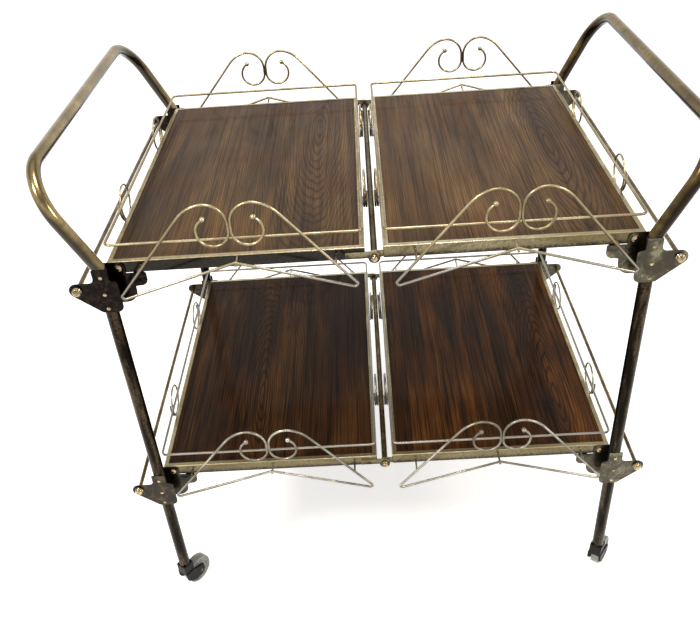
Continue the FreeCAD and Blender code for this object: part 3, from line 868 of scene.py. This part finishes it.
strapFace = tray["depth"] / 2 + strap["sheet"]
for side, outer in (("left", True), ("right", False)):
    strapMaster = makeStrap(outer)
    for tier, drop in tierDrop.items():
        name = "straps_%s_%s" % (tier, side)
        finishPiece(frontAndRear(strapMaster, side, drop), name, railBrass, name, smooth=30)
    dropMasters(strapMaster)
rodLevel = upperLevel - strap["drop"]
centreRodMaster = makeRod("centreRod", 0, rodLevel, strapFace + strap["rodPast"], sleeve)
centreNutMaster = makeNut("centreNut", nut["centreRadius"], 0, strapFace, rodLevel)
for tier, drop in tierDrop.items():
    finishPiece(placedCopy(centreRodMaster, "right", "front", (0, 0, drop)), "centreRod_" + tier,
                rodBrass, "centre_rod_" + tier)
    finishPiece(frontAndRear(centreNutMaster, "right", drop), "centreNuts_" + tier, nutBrass,
                "centre_nuts_" + tier)
dropMasters(centreRodMaster, centreNutMaster)
print("centre hinges made")


# the casters, drawn at the origin with the stem's axis upright and turned where they stand
casterFork = {"block": 20, "blockEdge": 1.6, "base": 41, "top": 63.5, "trail": 22, "axleZ": 25,
              "wheelRoom": 26.4, "slot": 16.4, "cheek": 3.0, "cheekEdge": 0.7, "axle": 2.5,
              "turn": 55}
cheekOutline = [(-9.5, 44, 1), (-9.5, 29, 9), (5, 15, 12), (31, 15, 11), (30, 35, 2.5), (9, 41.5, 3),
                (9, 44, 0.8)]
wheel = {"width": 15, "radius": 25, "bore": 2.6}
stem = {"radius": 3.9, "length": 30, "taper": 2, "tip": 2.9, "sunk": 0.2}
axleSpot = spot(casterFork["trail"], 0, casterFork["axleZ"])


def makeFork():
    # a block hollowed round the wheel, with a cheek on each side
    fork = casterFork
    bpy.ops.mesh.primitive_cube_add(size=1, location=spot(0, 0, (fork["base"] + fork["top"]) / 2))
    block = bpy.context.object
    block.scale = spot(fork["block"], fork["block"], fork["top"] - fork["base"])
    settle(block)
    softenEdges(block, fork["blockEdge"], 3)
    bpy.ops.mesh.primitive_cylinder_add(vertices=64, radius=mm(fork["wheelRoom"]),
                                        depth=mm(fork["slot"]), location=axleSpot,
                                        rotation=(pi / 2, 0, 0))
    cutter = bpy.context.object
    useModifier(block, "BOOLEAN", object=cutter, operation="DIFFERENCE", solver="EXACT")
    cheek = cutSheet("cheek", cheekOutline, fork["slot"] / 2, fork["cheek"], fork["cheekEdge"])
    cheeks = [placedCopy(cheek, "right", row) for row in rows]
    dropMasters(cutter, cheek)
    return joined([block] + cheeks)


def makeAxle():
    # a pin with a rounded head on each cheek
    axle, reach = casterFork["axle"], casterFork["slot"] / 2 + casterFork["cheek"]
    head = [(reach + 1.2, 0), (reach + 1.2, 1.6), (reach + 0.7, 3.0), (reach, 3.4), (reach, axle)]
    return turnedPiece("axle", bothEnds(head), axleSpot, toRear, 24)


def makeWheel():
    # a moulded wheel: hub, two ridges in its web, a rim and a grooved tread
    half, radius, bore = wheel["width"] / 2, wheel["radius"], wheel["bore"]
    face = [(half, bore), (half, 5.5), (half - 1.2, 6.5), (half - 1.6, 10.5), (half - 0.9, 11.3),
            (half - 0.9, 12.4), (half - 1.6, 13.2), (half - 1.7, 16.6), (half - 0.8, 17.4),
            (half - 0.8, 18.6), (half - 1.5, 19.4), (half - 1.3, 20.6), (half - 0.1, 21.6),
            (half, 23.2), (half - 0.5, 24.4), (half - 1.6, radius), (3.4, radius),
            (3.0, radius - 0.6), (2.4, radius - 0.6), (2.0, radius)]
    profile = bothEnds(face)
    return turnedPiece("wheel", profile + profile[:1], axleSpot, toRear, 72)


def makeStem():
    # the pin that turns in the leg's foot
    radius, length = stem["radius"], stem["length"]
    profile = [(0, 0), (0, radius), (length - stem["taper"], radius), (length, stem["tip"]),
               (length, 0)]
    return turnedPiece("stem", profile, spot(0, 0, casterFork["top"] - stem["sunk"]), toTop, 20)


forkMaster, axleMaster, wheelMaster = joined([makeFork(), makeStem()]), makeAxle(), makeWheel()
for side in ends:
    for row in rows:
        names = "%s_%s" % (side, row)
        across = 1 if side == "right" else -1
        back = 1 if row == "rear" else -1
        standing = {"shift": (across * legTube["x"], back * legTube["y"], 0),
                    "turn": radians(-back * casterFork["turn"])}
        finishPiece(placedCopy(forkMaster, **standing), "casterFork_" + names, casterPaint,
                    "caster_fork_" + names, smooth=30)
        finishPiece(placedCopy(axleMaster, **standing), "casterAxle_" + names, bracketGrey,
                    body="swivel_" + names)
        finishPiece(placedCopy(wheelMaster, **standing), "casterWheel_" + names, wheelNylon,
                    "caster_wheel_" + names, smooth=30)
dropMasters(forkMaster, axleMaster, wheelMaster)
print("casters made")


# a white paper floor and backdrop, soft lamps, and a room that only polished pieces mirror
studio = {"floor": ("#f3f2f0", "#fbfaf8"), "sky": "#f6f4f0", "skyLight": 0.62,
          "backdrop": "#ffffff", "floorGlow": 0.6,
          "mirrored": [(0.0, "#ffffff"), (0.42, "#f8f8f8"), (0.56, "#d0d0d0"), (0.75, "#9a9a9a"),
                       (0.9, "#f4f4f4")]}  # the room's greys by height
lamps = [  # place and aim in metres, size, power in watts and colour
    {"name": "key lamp", "place": (-1.6, -1.3, 2.5), "aim": (0, 0, 0.5), "size": 0.55, "power": 40,
     "colour": "#fff7ea"},
    {"name": "fill lamp", "place": (2.0, -1.1, 2.1), "aim": (0, 0, 0.5), "size": 0.7, "power": 22,
     "colour": "#fffaf2"},
    {"name": "top lamp", "place": (0.1, -0.3, 2.9), "aim": (0, 0, 0.4), "size": 0.9, "power": 26,
     "colour": "#ffffff"},
]
lens = {"focal": 41.31, "place": (-6.4, -1167.0, 532.4 + upperLevel), "pitch": 35.81,
        "roll": -4.36, "yaw": 2.02}


def seenDirectly(tree):
    # 1 for what the camera and polished metal see
    rays = addNode(tree, "LightPath").outputs
    seen = addNode(tree, "Math", {"operation": "MAXIMUM"},
                   {0: rays["Is Camera Ray"], 1: rays["Is Glossy Ray"]}).outputs[0]
    return addNode(tree, "Math", {"operation": "MAXIMUM"},
                   {0: seen, 1: rays["Is Transmission Ray"]}).outputs[0]


def makeFloor():
    bpy.ops.mesh.primitive_plane_add(size=40)
    floor = bpy.context.object
    floor.name = "floor"
    material, tree, shader, place = newMaterial("floor paper")
    tone = addNode(tree, "TexNoise", {"Scale": 3.0}, {"Vector": place}).outputs["Fac"]
    colour = addNode(tree, "ValToRGB", {"stops": list(enumerate(studio["floor"]))},
                     {"Fac": tone}).outputs["Color"]
    setNode(tree, shader, {"Roughness": 0.9, "Specular IOR Level": 0.1}, {"Base Color": colour})
    glow = addNode(tree, "Emission", {"Color": ink(studio["backdrop"]), "Strength": studio["floorGlow"]})
    both = addNode(tree, "AddShader", links={0: shader.outputs[0], 1: glow.outputs[0]})
    mixed = addNode(tree, "MixShader",
                    links={0: seenDirectly(tree), 1: shader.outputs[0], 2: both.outputs[0]})
    setNode(tree, tree.nodes["Material Output"], links={"Surface": mixed.outputs[0]})
    floor.data.materials.append(material)


def lightWorld():
    world = bpy.data.worlds.new("studio")
    bpy.context.scene.world = world
    world.use_nodes = True
    tree = world.node_tree
    tree.nodes.clear()
    soft = addNode(tree, "Background", {"Color": ink(studio["sky"]), "Strength": studio["skyLight"]})
    seen = addNode(tree, "Background", {"Color": ink(studio["backdrop"])})
    direction = addNode(tree, "TexCoord").outputs["Generated"]
    height = addNode(tree, "SeparateXYZ", links={"Vector": direction}).outputs["Z"]
    room = addNode(tree, "ValToRGB", {"stops": studio["mirrored"]}, {"Fac": height})
    mirrored = addNode(tree, "Background", links={"Color": room.outputs["Color"]})
    glossy = addNode(tree, "LightPath").outputs["Is Glossy Ray"]
    direct = addNode(tree, "MixShader", links={0: glossy, 1: seen.outputs[0], 2: mirrored.outputs[0]})
    mixed = addNode(tree, "MixShader",
                    links={0: seenDirectly(tree), 1: soft.outputs[0], 2: direct.outputs[0]})
    addNode(tree, "OutputWorld", links={"Surface": mixed.outputs[0]})


def hangLamps():
    for lamp in lamps:
        bpy.ops.object.light_add(type="AREA", location=lamp["place"])
        light = bpy.context.object
        light.name = lamp["name"]
        light.data.shape = "DISK"
        light.data.size = lamp["size"]
        light.data.energy = lamp["power"]
        light.data.color = ink(lamp["colour"])[:3]
        aim = Vector(lamp["aim"]) - Vector(lamp["place"])
        light.rotation_euler = aim.to_track_quat("-Z", "Y").to_euler()


def setCamera():
    bpy.ops.object.camera_add()
    camera = bpy.context.object
    camera.data.lens = lens["focal"]
    camera.matrix_world = (Matrix.Translation(spot(*lens["place"]))
                           @ Matrix.Rotation(radians(lens["yaw"]), 4, "Z")
                           @ Matrix.Rotation(radians(90 - lens["pitch"]), 4, "X")
                           @ Matrix.Rotation(radians(lens["roll"]), 4, "Z"))
    bpy.context.scene.camera = camera


makeFloor()
lightWorld()
hangLamps()
setCamera()
bpy.context.scene.view_settings.view_transform = "Standard"
print("studio set")
